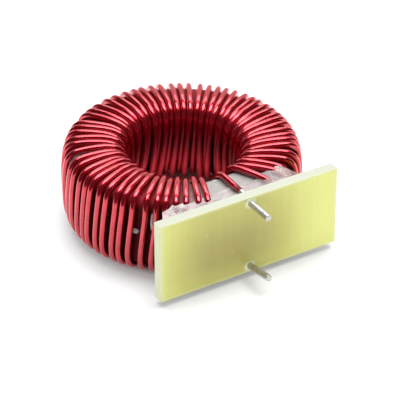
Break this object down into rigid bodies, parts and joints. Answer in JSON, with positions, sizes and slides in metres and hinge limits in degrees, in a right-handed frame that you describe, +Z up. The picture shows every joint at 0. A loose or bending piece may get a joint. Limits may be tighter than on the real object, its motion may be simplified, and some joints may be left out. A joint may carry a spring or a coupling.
{
  "type": "toroidal inductor",
  "caption": "Toroidal inductor: enamelled copper wire wound on a coated powder ring core, with a flat header plate glued at its side and two tinned lead ends through the plate.",
  "frame": {"origin": "under the middle of the whole part, on the surface that the winding rests on", "axes": "+Z up along the toroid's axis; -Y out of the header plate's outer face, the way the lead ends point; +X along the plate's length, to the right when its outer face is seen"},
  "size_m": [0.0498, 0.0586, 0.0193],
  "materials": {
    "core_coating": "semi-gloss grey coating",
    "wire_enamel": "glossy red enamel",
    "glass_epoxy": "translucent yellow-green laminate",
    "solder": "bright tinned",
    "adhesive": "clear to milky, glossy"
  },
  "bodies": {
    "root": {"core": "core_coating", "winding": "wire_enamel", "header_plate": "glass_epoxy", "upper_lead_tinning": "solder", "lower_lead_tinning": "solder", "adhesive_bead": "adhesive"}
  },
  "joints": []
}
